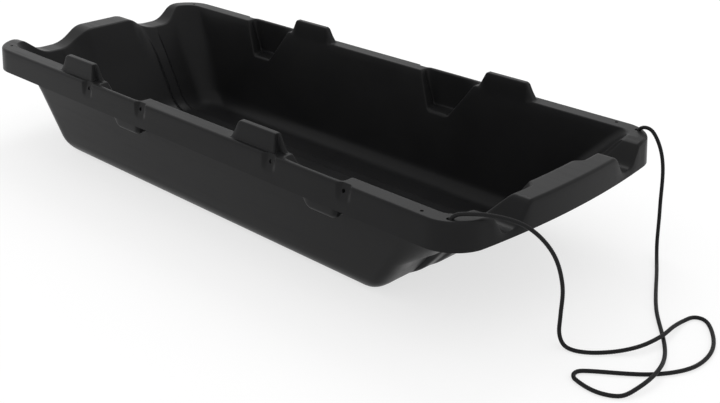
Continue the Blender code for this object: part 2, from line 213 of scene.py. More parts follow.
def polyethylene():
    """Black formed polyethylene: satin, with a fine moulded grain, faint drag marks and haze."""
    mat, shader = new_material("black_polyethylene", (0.012, 0.012, 0.0125), 0.34)
    shader.inputs["Specular IOR Level"].default_value = 0.095
    place = node(mat, "ShaderNodeTexCoord").outputs["Object"]
    haze = node(mat, "ShaderNodeTexNoise", Scale=5.0, Detail=4.0, Roughness=0.55)
    link(mat, place, haze.inputs["Vector"])
    squeeze = node(mat, "ShaderNodeMapping", Scale=(5.0, 130.0, 90.0))
    link(mat, place, squeeze.inputs["Vector"])
    drag = node(mat, "ShaderNodeTexNoise", Scale=1.0, Detail=5.0, Roughness=0.65)
    link(mat, squeeze.outputs["Vector"], drag.inputs["Vector"])
    grain = node(mat, "ShaderNodeTexNoise", Scale=1100.0, Detail=2.0, Roughness=0.5)
    link(mat, place, grain.inputs["Vector"])
    tone = ramp(mat, haze.outputs["Fac"], [(0.3, (0.0105, 0.0105, 0.0110)),
                                           (0.7, (0.0138, 0.0138, 0.0142))])
    link(mat, tone, shader.inputs["Base Color"])
    rough_haze = ramp(mat, haze.outputs["Fac"], [(0.3, 0.30), (0.7, 0.37)])
    rough_drag = ramp(mat, drag.outputs["Fac"], [(0.5, 0.0), (0.75, 0.09)])
    link(mat, math_node(mat, "ADD", rough_haze, rough_drag), shader.inputs["Roughness"])
    skin = node(mat, "ShaderNodeBump", Strength=0.10, Distance=0.0003)
    link(mat, grain.outputs["Fac"], skin.inputs["Height"])
    worn = node(mat, "ShaderNodeBump", Strength=0.04, Distance=0.0004)
    link(mat, drag.outputs["Fac"], worn.inputs["Height"])
    link(mat, skin.outputs["Normal"], worn.inputs["Normal"])
    link(mat, worn.outputs["Normal"], shader.inputs["Normal"])
    return mat


def braid():
    """Dark grey braided cord, fibres along each strand; painted shade between strands, painted
    highlight on crowns.
    """
    mat, shader = new_material("dark_braided_rope", (0.009, 0.009, 0.0095), 0.55)
    shader.inputs["Specular IOR Level"].default_value = 0.15
    shader.inputs["Sheen Weight"].default_value = 0.02
    shader.inputs["Sheen Roughness"].default_value = 0.6
    uv = node(mat, "ShaderNodeUVMap", uv_map="lay").outputs["UV"]
    lift = node(mat, "ShaderNodeAttribute", attribute_name="lift").outputs["Fac"]
    fibres = []
    for tilt in (0.6, -0.6):
        turn = node(mat, "ShaderNodeMapping", Rotation=(0, 0, tilt), Scale=(4.0, 4.0, 1.0))
        link(mat, uv, turn.inputs["Vector"])
        wave = node(mat, "ShaderNodeTexWave", Scale=2.4, Distortion=1.2, Detail=2.0)
        link(mat, turn.outputs["Vector"], wave.inputs["Vector"])
        fibres.append(wave.outputs["Fac"])
    both = node(mat, "ShaderNodeMix", data_type="FLOAT")
    link(mat, lift, both.inputs[0])
    link(mat, fibres[0], both.inputs[2])
    link(mat, fibres[1], both.inputs[3])
    # painted shade and highlight: the colour runs from near black in the grooves to lighter on the
    # crowns, by the strands' lift
    tone = ramp(mat, lift, [(0.1, (0.002, 0.002, 0.0021)), (0.5, (0.009, 0.009, 0.0095)),
                            (0.95, (0.024, 0.024, 0.0255))])
    shade = node(mat, "ShaderNodeMix", data_type="RGBA", blend_type="MULTIPLY")
    shade.inputs[0].default_value = 0.35
    link(mat, tone, shade.inputs[6])
    link(mat, both.outputs[0], shade.inputs[7])
    link(mat, shade.outputs[2], shader.inputs["Base Color"])
    bump = node(mat, "ShaderNodeBump", Strength=0.35, Distance=0.0004)
    link(mat, both.outputs[0], bump.inputs["Height"])
    link(mat, bump.outputs["Normal"], shader.inputs["Normal"])
    return mat


PLASTIC = polyethylene()
FIBRE = braid()

# Tow rope

ROPE = 7.8                              # diameter
KNOT_TOP, KNOT_GAP = 238.0, 0.4         # top of the knots, and where the rope starts above it
LIE = ROPE / 2 + 0.3                    # height of the rope's middle where it lies
HUMP = LIE + ROPE + 1.0                 # and where it passes over itself
ROUTE = [(699, -286, KNOT_TOP + KNOT_GAP), (699, -286, 241), (700.6, -284.6, 249),
         (704.9, -280.6, 254.9), (710.8, -275.3, 257), (748, -241, 255), (792, -202, 237),
         (822, -165, 187), (833, -143, 120), (829, -135, 50), (831, -137, 20),
         (845, -142, LIE + 2), (870, -139, LIE), (915, -102, LIE + 1.5),
         (944, -63, HUMP - 1.5), (955, -8, HUMP), (951, 42, LIE + 5.5), (950, 83, LIE),
         (957, 107, LIE), (972, 110, LIE), (1005, 80, LIE), (1036, 20, LIE),
         (1038, -45, LIE), (1005, -106, LIE), (906, -189, LIE), (903, -204, LIE),
         (921, -214, LIE), (965, -219, LIE), (997, -203, LIE), (1009, -165, HUMP - 3),
         (1008, -110, HUMP), (985, -46, LIE + 2), (890, 86, LIE), (802, 236, LIE),
         (776, 276, 26), (767, 287, 100), (754, 291, 212), (728, 289, 254.4),
         (714.9, 287.6, 257), (706.9, 286.8, 254.9), (701.1, 286.2, 249), (699, 286, 241),
         (699, 286, KNOT_TOP + KNOT_GAP)]
ROPE_SIDES, ROPE_STEP = 24, 1.15        # facets round the rope, and about a facet's length
STRAND_ROUND, STRAND_LONG = 6, 4.6      # crowns round the rope, and their pitch along it
ROPE_LIFT = 0.50                        # height of the strands' crowns over the grooves
ANY_WAY = (0.3, 0.5, 0.8)               # a direction that is not the cord's own at its start
EASE_SHARE = 0.35                       # share of the way to its neighbours' middle in one move
EVEN_ROUNDS = 90                        # moves that even the whole route out
EASE_ROUNDS = 4000                      # most moves that ease its tight bends
EASE_SPAN, EASE_REACH = 4, 8            # points each way that a bend is measured and eased over
EASE_KEEP = 3                           # points at each end that easing leaves
LEAST_BEND = 14.2                       # radius over that span; over a longer one it is 16 or more


def smooth_route():
    """Points read closely from the smooth curve through the route."""
    ends = [ROUTE[0]] + ROUTE + [ROUTE[-1]]
    out = []
    for a, b, c, d in zip(ends, ends[1:], ends[2:], ends[3:]):
        a, b, c, d = Vector(a), Vector(b), Vector(c), Vector(d)
        chord = (c - b).length
        before, after = max((b - a).length, chord / 3), max((d - c).length, chord / 3)
        at_b = ((b - a) / before + (c - b) / chord) / 2
        at_c = ((c - b) / chord + (d - c) / after) / 2
        steps = max(1, round(chord / ROPE_STEP))
        for k in range(steps):
            t = k / steps
            point = (b * (1 + 2 * t) * (1 - t) ** 2 + c * t * t * (3 - 2 * t)
                     + chord * t * (1 - t) * (at_b * (1 - t) - at_c * t))
            point.z = max(point.z, LIE)
            out.append(point)
    return out + [Vector(ROUTE[-1])]


def evened(way):
    """The way with every inner point moved towards its neighbours' middle, none under LIE."""
    out = way.copy()
    out[1:-1] += EASE_SHARE * ((way[:-2] + way[2:]) / 2 - way[1:-1])
    out[:, 2] = np.maximum(out[:, 2], LIE)
    return out


def tight_points(way):
    """Indices of the way's points where it bends tighter than LEAST_BEND."""
    a, b, c = way[:-2 * EASE_SPAN], way[EASE_SPAN:-EASE_SPAN], way[2 * EASE_SPAN:]
    sides = [np.linalg.norm(q - p, axis=1) for p, q in ((a, b), (b, c), (c, a))]
    double = np.linalg.norm(np.cross(b - a, c - a), axis=1)
    radius = sides[0] * sides[1] * sides[2] / np.maximum(2 * double, 1e-9)
    return np.flatnonzero(radius < LEAST_BEND) + EASE_SPAN


def relaxed(points):
    """The route evened out, then with each bend eased to two diameters, its ends kept."""
    way = np.array([tuple(p) for p in points])
    for _ in range(EVEN_ROUNDS):
        way = evened(way)
    for _ in range(EASE_ROUNDS):
        tight = tight_points(way)
        if not len(tight):
            break
        near = np.zeros(len(way), bool)
        for t in tight:
            first, last = t - EASE_REACH, t + EASE_REACH
            near[max(first, EASE_KEEP):min(last + 1, len(way) - EASE_KEEP)] = True
        way[near] = evened(way)[near]
    return [Vector(p) for p in way]


def across(way):
    """Two directions square to the way at each point, which turn only as it makes them."""
    ahead = np.gradient(way, axis=0)
    ahead /= np.linalg.norm(ahead, axis=1)[:, None]
    up = np.zeros_like(way)
    first = np.cross(ahead[0], ANY_WAY)
    up[0] = first / np.linalg.norm(first)
    for i in range(1, len(way)):
        turned = up[i - 1] - ahead[i] * (up[i - 1] @ ahead[i])
        up[i] = turned / np.linalg.norm(turned)
    return up, np.cross(ahead, up)


def lay_map(mesh, sides, gone, width):
    """The cord's lay as a UV map: strand pitches round it, and along it."""
    wrap = math.pi * width
    flat = np.zeros(len(mesh.loops) * 2)
    for poly in mesh.polygons:
        starts_last = mesh.loops[poly.loop_start].vertex_index % sides == sides - 1
        seam = len(poly.vertices) == 4 and starts_last
        for loop in poly.loop_indices:
            row, side = divmod(mesh.loops[loop].vertex_index, sides)
            if seam and side == 0:
                side = sides
            flat[2 * loop] = side / sides * wrap / STRAND_LONG
            flat[2 * loop + 1] = gone[row] / STRAND_LONG
    mesh.uv_layers.new(name="lay").data.foreach_set("uv", flat)


def tube(name, path, sides=ROPE_SIDES, width=ROPE):
    """A braided round cord swept along path, with its strands' relief."""
    way = np.array([tuple(p) for p in path])
    up, out = across(way)
    gone = np.concatenate([[0], np.cumsum(np.linalg.norm(np.diff(way, axis=0), axis=1))])
    angle = 2 * np.pi * np.arange(sides) / sides
    turn = 2 * np.pi * gone / STRAND_LONG
    lift = 0.5 + 0.5 * (np.cos(STRAND_ROUND * angle)[None, :] * np.cos(turn)[:, None])
    radius = width / 2 - ROPE_LIFT * (1.0 - lift)
    outward = (np.cos(angle)[None, :, None] * up[:, None, :]
               + np.sin(angle)[None, :, None] * out[:, None, :])
    points = way[:, None, :] + radius[:, :, None] * outward
    count = len(way)
    faces = [(i * sides + k, (i + 1) * sides + k, (i + 1) * sides + (k + 1) % sides,
              i * sides + (k + 1) % sides) for i in range(count - 1) for k in range(sides)]
    faces += [tuple(range(sides)), tuple(range(count * sides - 1, (count - 1) * sides - 1, -1))]
    mesh = bpy.data.meshes.new(name)
    mesh.from_pydata([tuple(p) for p in points.reshape(-1, 3) * MM], [], faces)
    lay_map(mesh, sides, gone, width)
    # lift, the strands' relief, also sets the rope's painted groove shade and crown highlight
    mesh.attributes.new("lift", "FLOAT", "POINT").data.foreach_set("value", lift.reshape(-1))
    mesh.shade_smooth()
    mesh.validate()
    return add(name, mesh, FIBRE)


# Knots

KNOT_WIDTH, KNOT_SIDES = 7.2, 18        # the cord pulled tight in a knot, and its facets
KNOT_PIECES = 120
KNOT_RING, KNOT_SWAY = 4.6, 2.3         # radius of a knot's turns, and how far that sways
KNOT_DOWN, KNOT_BOB = 8.2, 3.4          # its middle under its top, and how far it rises and falls
KNOT_START = 0.5                        # where its way starts, in radians


def knot_path(x, y, side):
    """Way of an overhand knot pulled tight under the rim: two turns with three crossings, and
    back to its start."""
    points = []
    for k in range(KNOT_PIECES + 1):
        t = 2 * math.pi * (k / KNOT_PIECES) + KNOT_START
        ring = KNOT_RING + KNOT_SWAY * math.cos(3 * t)
        points.append((x + ring * math.cos(2 * t), y + side * ring * math.sin(2 * t),
                       KNOT_TOP - KNOT_DOWN + KNOT_BOB * math.sin(3 * t)))
    return points


route = relaxed(smooth_route())
rope = tube("tow_rope_braided", route)
knots = []
for side, name in ((-1, "near"), (1, "far")):
    low_corner, high_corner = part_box("knot_" + name)
    at = (low_corner + high_corner) / 2 / MM
    knots.append(tube("overhand_knot_" + name, knot_path(at.x, at.y, side), sides=KNOT_SIDES,
                      width=KNOT_WIDTH))
    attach(knots[-1], "root")
    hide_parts("knot_" + name)
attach(rope, "root")
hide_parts("tow_rope")

# Tub, its dimensions

WALL = 4.0                              # the sheet's thickness
SKIRT, FLARE, RIM = 54.0, 4.0, 36.0     # the skirt's drop and outward lean, and the rim's width
LUG_TALL, POCKET_DEEP = 36.0, 80.0      # above and below the rim's top
hull_low, hull_high = (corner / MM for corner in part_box("hull"))
HALF = round(hull_high.y, 1) - FLARE    # half width at the outer corner of the rim
REAR, FRONT = round(hull_low.x, 1) + FLARE, round(hull_high.x, 1) - FLARE
DEPTH = round(hull_high.z, 1) - LUG_TALL        # the rim's height over the ground
FLOOR = DEPTH - WALL                    # depth of the floor's upper face
LEVEL = 104.0                           # depth where the rim's rows end and the wall's begin
REAR_CORNER, FRONT_CORNER = 83.0, 62.0  # the rim's radii in plan
REAR_ROUND = [(0, 47.0), (0.4, 66.0), (1, 50.0)]        # the wall's, by share of the depth
FRONT_ROUND = [(0, 27.0), (0.45, 60.0), (1, 50.0)]
CORNER_SPARE = 2.0                      # least flat between those and the floor's middle
CORNER_READ = 18.0                      # an end's rim is read up to this far from the side
BOW_CROWN = 24.8                        # how far the bow curves back at its corners
CROWN_FROM, CROWN_TO = 480.0, 690.0     # X between which that grows
SIDE_LEAN, STERN_LEAN, BOW_LEAN = 0.143, 0.55, 0.85     # the walls' inward lean by depth
SIDE_BEND, STERN_BEND, BOW_BEND = 40.0, 75.0, 95.0      # their radii at the foot
BOW_SHELF = 4.0                         # how much wider than the others the bow's rim is
END_TOP_CUT = 11.0                      # cut where an end's rim meets its wall
SIDE_EVEN = 500.0                       # side stations this near the middle stay upright
EVEN_SHARE = 0.92                       # and take at most this share of the straight side

# Lugs and pockets, in pairs
FIRST_PAIR, PAIR_PITCH = 291.5, 605.0
PAIRS = (REAR + FIRST_PAIR, REAR + FIRST_PAIR + PAIR_PITCH)
PAIR_TURN = 161.0      # from a pair's start to the line about which the far side's is mirrored
PAIR_FROM, PAIR_TO = -10.0, 380.0       # how far a pair and its tie hollows reach
TIE_AT, TIE_DEEP = (138.0, 336.0), 9.0  # the tie hollows' middles along a pair, and their depth
TIE_SPOTS = (139.0, 332.0)              # the holes in those hollows

# Low places of the end rims, and the swell between them
SCALLOP_DEEP, NOTCH_DEEP = 36.5, 43.0
STERN_SWELL, BOW_SWELL = 26.0, 16.0
SWELL_FULL, SWELL_END = 62.0, {-1: 108.0, 1: 84.0}      # how far out it starts to fade, and ends
END_SLOPE_FROM, END_SLOPE_OVER = 10.0, 25.0     # how far in both start, and the run they grow over

# Raised middle of the floor, between the runners
STEP, STEP_OUT = 15.0, 151.0            # its height, and its half width
INNER_STEP = 5.5                        # how much of that height its inner step takes
STERN_STEP_FROM, STERN_STEP_TO = 30.0, 95.0     # depths between which it grows on the stern wall
BOW_RISE = 0.35        # share of its height that stays on the bow wall
BOW_STEP_FROM, BOW_STEP_TO = 75.0, 5.0  # heights over the floor between which the rest grows
NOSE_BACK = 28.0       # the runners' noses stand this far behind the middle's
NOSE_TOP, NOSE_LOW = 122.0, 96.0        # heights between which that starts

# Lug and pocket along the rim from the lug's outer end: (distance, height, cut), for the
# section's outer corners, whose lug ends upright above a ledge, and for its inner ones.
PAIR_OUTER = rounded([(PAIR_FROM, 0, 0), (12, 0, 4), (31, LUG_TALL, 6), (137, LUG_TALL, 3),
                      (140, 0, 1.3), (166, 0, 3), (230, -POCKET_DEEP, 7), (297, -POCKET_DEEP, 7),
                      (322, 0, 4), (334, 0, 0)], 5)
PAIR_INNER = rounded([(PAIR_FROM, 0, 0), (12, 0, 4), (31, LUG_TALL, 5), (137, LUG_TALL, 4),
                      (157, 0, 3), (166, 0, 3), (230, -POCKET_DEEP, 7), (289, -POCKET_DEEP, 7),
                      (322, 0, 4), (334, 0, 0)], 5)
TIE_LINES = [rounded([(c - 24, 0, 0), (c - 19, 0, 2), (c - 10, TIE_DEEP, 2), (c + 10, TIE_DEEP, 2),
                      (c + 18, 0, 2), (c + 24, 0, 0)], 3) for c in TIE_AT]
# Low places of the end rims by distance from the rim's side: (distance, depth, cut).
SCALLOP = rounded([(45, 0, 0), (73.8, 0, 14), (117.8, SCALLOP_DEEP, 22),
                   (190.5, SCALLOP_DEEP, 28), (242.8, 0, 16), (285, 0, 0)], 7)
NOTCH = rounded([(62, 0, 0), (84, 0, 8), (112, NOTCH_DEEP, 12), (146, NOTCH_DEEP, 14),
                 (176, 0, 9), (200, 0, 0)], 6)
# Height of the floor's middle by distance from the centre line: (distance, height, cut).
STEP_LINE = rounded([(95, STEP, 0), (105, STEP, 2.5), (113, STEP - INNER_STEP, 2.5),
                     (141.5, STEP - INNER_STEP, 3), (147.5, 0, 3.2), (STEP_OUT, 0, 0)], 4)

# Cross-sections of the rim from the skirt's edge to the tub wall, as corners
# (inward distance from the rim's outer corner, height above the rim, cut).
EDGE = (-FLARE, -SKIRT, 0)
OUTSIDE = [EDGE, (-2.6, -35, 2), (-2.2, -30, 2)]
TOP = [(18, 0, 3), (25, 0, 0.7), (26.6, 0, 0.7), (30.5, 0, 2), (RIM, 0, 5)]
AT_LEVEL = (RIM + SIDE_LEAN * LEVEL, -LEVEL, 0)
FLAT = OUTSIDE + [(0, 0, 6), (11, 0, 2)] + TOP + [AT_LEVEL]
TALL = OUTSIDE + [(0, 0, 6), (11.5, 0, 1.2), (18.8, LUG_TALL, 3.2), (25.4, LUG_TALL, 0.7),
                  (27, LUG_TALL, 0.7), (32.6, LUG_TALL, 2.7), (36.6, -5, 5), AT_LEVEL]
DEEP = OUTSIDE + [(0, 0, 5), (11, 0, 3.5), (13.8, -POCKET_DEEP, 6), (24, -POCKET_DEEP - 1.2, 1),
                  (26, -POCKET_DEEP - 1.5, 1), (33, -POCKET_DEEP - 2.5, 3),
                  (47.5, -POCKET_DEEP - 4, 6), AT_LEVEL]
TIED = [EDGE, (-2.9, -38, 2), (-2.2, -32, 3), (8.4, 0, 2.2), (11.3, 0, 0.8)] + TOP + [AT_LEVEL]
OUTER_CORNERS = 7      # corners that follow PAIR_OUTER

# How finely the mesh is divided
ARC_STEPS = 5                           # pieces of a rounding in the rim's section
SPLITS = [3, 1, 3, 2, 4, 1, 1, 1, 3, 6]     # and of its straights, from the skirt's edge
WALL_STRAIGHT, WALL_ARC = 4, 9          # pieces of the wall below LEVEL, and of its bend
CORNER_STEPS = 14                       # pieces of a corner in plan
SIDE_GAP, END_GAP = 0.7, 1.0            # least distance between stations on a side and an end
CORNER_GAP = 1.0                        # and from the stations at the corners
END_STRIDE = 11.0                       # most distance between stations on an end
SWELL_STRIDE, SWELL_STATIONS = 6.0, 9   # and where the swell fades


# Tub, its shape

def section(corners):
    """Points of the rim's section through corners."""
    return rounded(corners, ARC_STEPS, SPLITS)


def pair_x(side, pair, u):
    """X of a distance along a pair; the far side's pairs run the other way."""
    return pair + u if side < 0 else pair + 2 * PAIR_TURN - u


def side_corners(side, x):
    """Corners of a side rim's section at x."""
    heights, tied = (0.0, 0.0), 0.0
    for pair in PAIRS:
        u = x - pair if side < 0 else pair + 2 * PAIR_TURN - x
        if PAIR_FROM < u < PAIR_TO:
            heights = along(PAIR_OUTER, u), along(PAIR_INNER, u)
            tied = max(along(line, u) / TIE_DEEP for line in TIE_LINES)
    out = []
    for i, flat in enumerate(FLAT):
        height = heights[0 if i < OUTER_CORNERS else 1]
        lug, pocket = max(height, 0.0) / LUG_TALL, max(-height, 0.0) / POCKET_DEEP
        out.append(tuple(f + lug * (t - f) + pocket * (d - f) + tied * (h - f)
                         for f, t, d, h in zip(flat, TALL[i], DEEP[i], TIED[i])))
    return out


def inset(depth, lean, bend, start=RIM):
    """Inward distance of a wall's inner face at a depth, and its slope angle."""
    up = FLOOR - depth
    slant = math.hypot(1.0, lean)
    foot = start + lean * FLOOR + bend * (slant - lean)
    if up < bend * (1.0 - lean / slant):
        run = math.sqrt(max(2 * bend * up - up * up, 0.0))
        return foot - run, math.atan2(run, bend - up)
    return start + lean * depth, math.atan2(1.0, lean)


def end_step(end, y, depth):
    """How far the floor's middle stands proud of an end wall; end is -1 stern, +1 bow."""
    if end > 0:
        size = mix(BOW_RISE, 1.0, smooth(FLOOR - BOW_STEP_FROM, FLOOR - BOW_STEP_TO, depth))
    else:
        size = smooth(STERN_STEP_FROM, STERN_STEP_TO, depth)
    return size * along(STEP_LINE, abs(y))


def raised(end, inward, z, proud, tilt):
    """A point of an end wall moved proud of it: upright at the bow, square to it at the stern."""
    if end > 0:
        return inward, z + proud
    return inward + proud * math.sin(tilt), z + proud * math.cos(tilt)


# Lean, bend, start and swell of each end.
ENDS = {-1: (STERN_LEAN, STERN_BEND, RIM, STERN_SWELL),
        1: (BOW_LEAN, BOW_BEND, RIM + BOW_SHELF, BOW_SWELL)}


def end_corners(end, y=None):
    """Corners of an end rim's section at y, or of its plain form."""
    lean, bend, start, full_swell = ENDS[end]
    drop, swell, proud = 0.0, 0.0, 0.0
    if y is not None:
        drop = along(SCALLOP if end < 0 else NOTCH, HALF - abs(y))
        swell = full_swell * (1.0 - smooth(SWELL_FULL, SWELL_END[end], abs(y)))
        proud = end_step(end, y, LEVEL)
    out = []
    for w, z, cut in FLAT[:-2] + [(start, 0, END_TOP_CUT)]:
        share = min(max((w - END_SLOPE_FROM) / END_SLOPE_OVER, 0.0), 1.0)
        w += share * (lean * drop + swell)
        z -= drop * min(max((z + SKIRT) / SKIRT, 0.0), 1.0)
        out.append((w, z, cut))
    w, tilt = inset(LEVEL, lean, bend, start)
    return out + [(*raised(end, w, -LEVEL, proud, tilt), 0)]


def crown(x, y):
    """x with the bow brought back towards its corners."""
    return x - BOW_CROWN * (y / HALF) ** 2 * smooth(CROWN_FROM, CROWN_TO, x)


def corner_radius(end, w, depth, side):
    """A corner's radius in plan: concentric on the rim, by depth on the wall."""
    corner, table = (REAR_CORNER, REAR_ROUND) if end < 0 else (FRONT_CORNER, FRONT_ROUND)
    if w <= RIM:
        return corner - w
    return min(along(table, depth / FLOOR), HALF - side - STEP_OUT - CORNER_SPARE)


# Kinds of stations round the tub: near, near corner, bow, bow corner, far, far corner, stern
# and stern corner, each corner named after the side or end before it.
BOW_KINDS = ("near corner", "bow", "bow corner")
CORNER_TURN = {"near corner": -90.0, "bow corner": 0.0, "far corner": 90.0, "stern corner": 180.0}
SIDE_FROM, SIDE_TO = REAR + REAR_CORNER, FRONT - FRONT_CORNER


def place(kind, value, side, rear, bow, rear_radius, bow_radius):
    """Plan point of a station on a rounded rectangle of these insets and corner radii."""
    half, x0, x1 = HALF - side, REAR + rear, FRONT - bow
    turn0, turn1 = x0 + rear_radius, x1 - bow_radius
    if kind in ("near", "far"):
        inner0 = max(-SIDE_EVEN, EVEN_SHARE * turn0)
        inner1 = min(SIDE_EVEN, EVEN_SHARE * turn1)
        x = along([(SIDE_FROM, turn0), (-SIDE_EVEN, inner0), (SIDE_EVEN, inner1),
                   (SIDE_TO, turn1)], value)
        return x, (-half if kind == "near" else half)
    at_bow = kind in BOW_KINDS
    radius = bow_radius if at_bow else rear_radius
    if kind in ("bow", "stern"):
        outer = HALF - (FRONT_CORNER if at_bow else REAR_CORNER)
        y = along([(0, 0), (STEP_OUT, STEP_OUT), (outer, half - radius)], abs(value))
        return (x1 if at_bow else x0), math.copysign(y, value)
    angle = math.radians(CORNER_TURN[kind] + 90.0 * value)
    middle_x = turn1 if at_bow else turn0
    middle_y = (half - radius) * (-1.0 if kind in ("near corner", "stern corner") else 1.0)
    return middle_x + radius * math.cos(angle), middle_y + radius * math.sin(angle)


def side_values(side):
    """Stations along a side: close at every rounding, sparse on the straights."""
    us = [u for line in [PAIR_OUTER, PAIR_INNER] + TIE_LINES for u, _ in line]
    xs = thinned([pair_x(side, pair, u) for pair in PAIRS for u in us], SIDE_GAP)
    edges = [SIDE_FROM] + xs + [SIDE_TO]
    out = []
    for a, b in zip(edges, edges[1:]):
        count = max(1, math.ceil((b - a) / LONGEST))
        out += [mix(a, b, k / count) for k in range(count)]
    return [v for v in out if SIDE_FROM + CORNER_GAP < v < SIDE_TO - CORNER_GAP]


def end_values():
    """Stations across an end: close at every rounding, with one at STEP_OUT."""
    last = HALF - REAR_CORNER
    ys = [0.0] + [HALF - d for d, _ in SCALLOP + NOTCH] + [y for y, _ in STEP_LINE]
    ys += [SWELL_FULL + SWELL_STRIDE * k for k in range(SWELL_STATIONS)]
    ys += [END_STRIDE * k for k in range(math.ceil(last / END_STRIDE))]
    ys = thinned([y for y in ys if 0 <= y < last - CORNER_GAP and y != STEP_OUT], END_GAP)
    ys = sorted([y for y in ys if abs(y - STEP_OUT) > END_GAP] + [STEP_OUT])
    return [-y for y in ys[:0:-1]] + ys


END_Y = end_values()
KINDS = (("near", side_values(-1)), ("bow", END_Y), ("far", side_values(1)[::-1]),
         ("stern", END_Y[::-1]))


def stations():
    """Every station as (kind, value), once round the tub."""
    out = []
    for kind, values in KINDS:
        out += [(kind, v) for v in values]
        out += [(kind + " corner", k / CORNER_STEPS) for k in range(CORNER_STEPS + 1)]
    return out


def wall_depths(lean, bend):
    """Depths of the plain wall's rows below LEVEL for a wall of this lean and bend."""
    slant = math.hypot(1.0, lean)
    start = FLOOR - bend * (1.0 - lean / slant)
    most = math.acos(lean / slant)
    out = [mix(LEVEL, start, k / WALL_STRAIGHT) for k in range(1, WALL_STRAIGHT + 1)]
    for k in range(1, WALL_ARC + 1):
        out.append(FLOOR - bend * (1.0 - math.cos(most * (1 - k / WALL_ARC))))
    return out


PLAIN_SIDE = section(FLAT)
PLAIN_END = {end: section(end_corners(end)) for end in (-1, 1)}
SIDE_DEPTHS = wall_depths(SIDE_LEAN, SIDE_BEND)
END_DEPTHS = {-1: wall_depths(STERN_LEAN, STERN_BEND), 1: wall_depths(BOW_LEAN, BOW_BEND)}


def end_share(kind, value):
    """How much of a station is its end's, from 0 on a side to 1 on an end."""
    if "corner" not in kind:
        return 1.0 if kind in ("bow", "stern") else 0.0
    return value if kind in ("near corner", "far corner") else 1.0 - value


def rim_sections(kind, value, end):
    """The rim's section at a station: its side's, and its end's or None."""
    if kind in ("near", "far"):
        return section(side_corners(-1 if kind == "near" else 1, value)), None
    if kind in ("bow", "stern"):
        return PLAIN_SIDE, section(end_corners(end, value))
    corner = FRONT_CORNER if end > 0 else REAR_CORNER
    angle = end_share(kind, value) * math.pi / 2
    level_y = HALF - corner + (corner - CORNER_READ) * math.cos(angle)
    return PLAIN_SIDE, section(end_corners(end, level_y))


def rim_points(kind, value, end, share):
    """A station's points from the skirt's edge to LEVEL."""
    side_rows, end_rows = rim_sections(kind, value, end)
    out = []
    for r, (side, z) in enumerate(side_rows):
        widths = {e: rows[r][0] for e, rows in PLAIN_END.items()}
        rear_radius, bow_radius = (corner_radius(e, widths[e], -PLAIN_END[e][r][1],
                                                 PLAIN_SIDE[r][0]) for e in (-1, 1))
        if end_rows:
            widths[end] = end_rows[r][0]
            z = mix(z, end_rows[r][1], share)
        x, y = place(kind, value, side, widths[-1], widths[1], rear_radius, bow_radius)
        out.append((crown(x, y), y, DEPTH + z))
    return out


def wall_points(kind, value, end, share):
    """A station's points below LEVEL, down to the floor."""
    out = []
    for side_depth, end_depth in zip(SIDE_DEPTHS, END_DEPTHS[end]):
        depth = mix(side_depth, end_depth, share)
        side = inset(depth, SIDE_LEAN, SIDE_BEND)[0]
        rear, tilt = inset(depth, STERN_LEAN, STERN_BEND)
        bow = inset(depth, BOW_LEAN, BOW_BEND, RIM + BOW_SHELF)[0]
        x, y = place(kind, value, side, rear, bow, corner_radius(-1, rear, depth, side),
                     corner_radius(1, bow, depth, side))
        z = DEPTH - depth
        runner = 1.0
        if kind in ("bow", "stern"):
            x, z = raised(end, x, z, end_step(end, y, depth), tilt)
            runner = 1.0 - along(STEP_LINE, abs(y)) / STEP
        if end > 0:
            x -= NOSE_BACK * share * runner * smooth(NOSE_TOP, NOSE_LOW, DEPTH - depth)
        out.append((crown(x, y), y, z))
    return out


def column(kind, value):
    """All points of a station from the skirt's edge to the floor."""
    end = 1 if kind in BOW_KINDS else -1
    share = smooth(0.0, 1.0, end_share(kind, value))
    return rim_points(kind, value, end, share) + wall_points(kind, value, end, share)


def upper_face():
    """The tub's upper face: rows of quads from the skirt's edge down to the floor's strips."""
    spots = stations()
    count = len(spots)
    bm = bmesh.new()
    grid = [[bm.verts.new(p) for p in column(kind, value)] for kind, value in spots]
    last = len(grid[0]) - 1
    for k in range(count):
        n = (k + 1) % count
        for row in range(last):
            bm.faces.new((grid[k][row], grid[n][row], grid[n][row + 1], grid[k][row + 1]))
    bow = {value: k for k, (kind, value) in enumerate(spots) if kind == "bow"}
    stern = {value: k for k, (kind, value) in enumerate(spots) if kind == "stern"}
    lines = [y for y in END_Y if abs(y) <= STEP_OUT]
    for y0, y1 in zip(lines, lines[1:]):
        bm.faces.new([grid[k][last] for k in (stern[y0], bow[y0], bow[y1], stern[y1])])
    for y, step in ((lines[0], 1), (lines[-1], -1)):
        loop, k = [grid[stern[y]][last]], stern[y]
        while k != bow[y]:
            k = (k + step) % count
            loop.append(grid[k][last])
        bm.faces.new(loop)
    bmesh.ops.recalc_face_normals(bm, faces=bm.faces)
    middle = max(bm.faces, key=lambda f: f.calc_area())
    if middle.normal.z < 0:
        bmesh.ops.reverse_faces(bm, faces=bm.faces)
    bm.normal_update()
    return bm


# Tub, its sheet and holes

WAY_ROUNDS = 3         # passes that even the sheet's directions out
LIP = 0.9              # how far the free edge's rounding stands below it
SHARP = 38.0           # degrees from which an edge is shaded sharp
# Holes through the rim on each side: (end, distance from it, distance from the side, diameter),
# for the tow rope, the stern's corner and the bow's corner.
RIM_HOLES = ((1, 56.0, 23.0, 11.0), (-1, 56.0, 30.0, 7.0), (1, 109.0, 15.0, 7.0))
RIM_HOLE_LONG = 20.0   # length of their cutters
TIE_HOLE, TIE_HOLE_LONG, TIE_DOWN = 8.0, 22.0, 14.0     # diameter, cutter, depth under the rim
CUTTER_OUT = 6.0       # how far outside the sheet a cutter starts
CUTTER_SIDES = 28


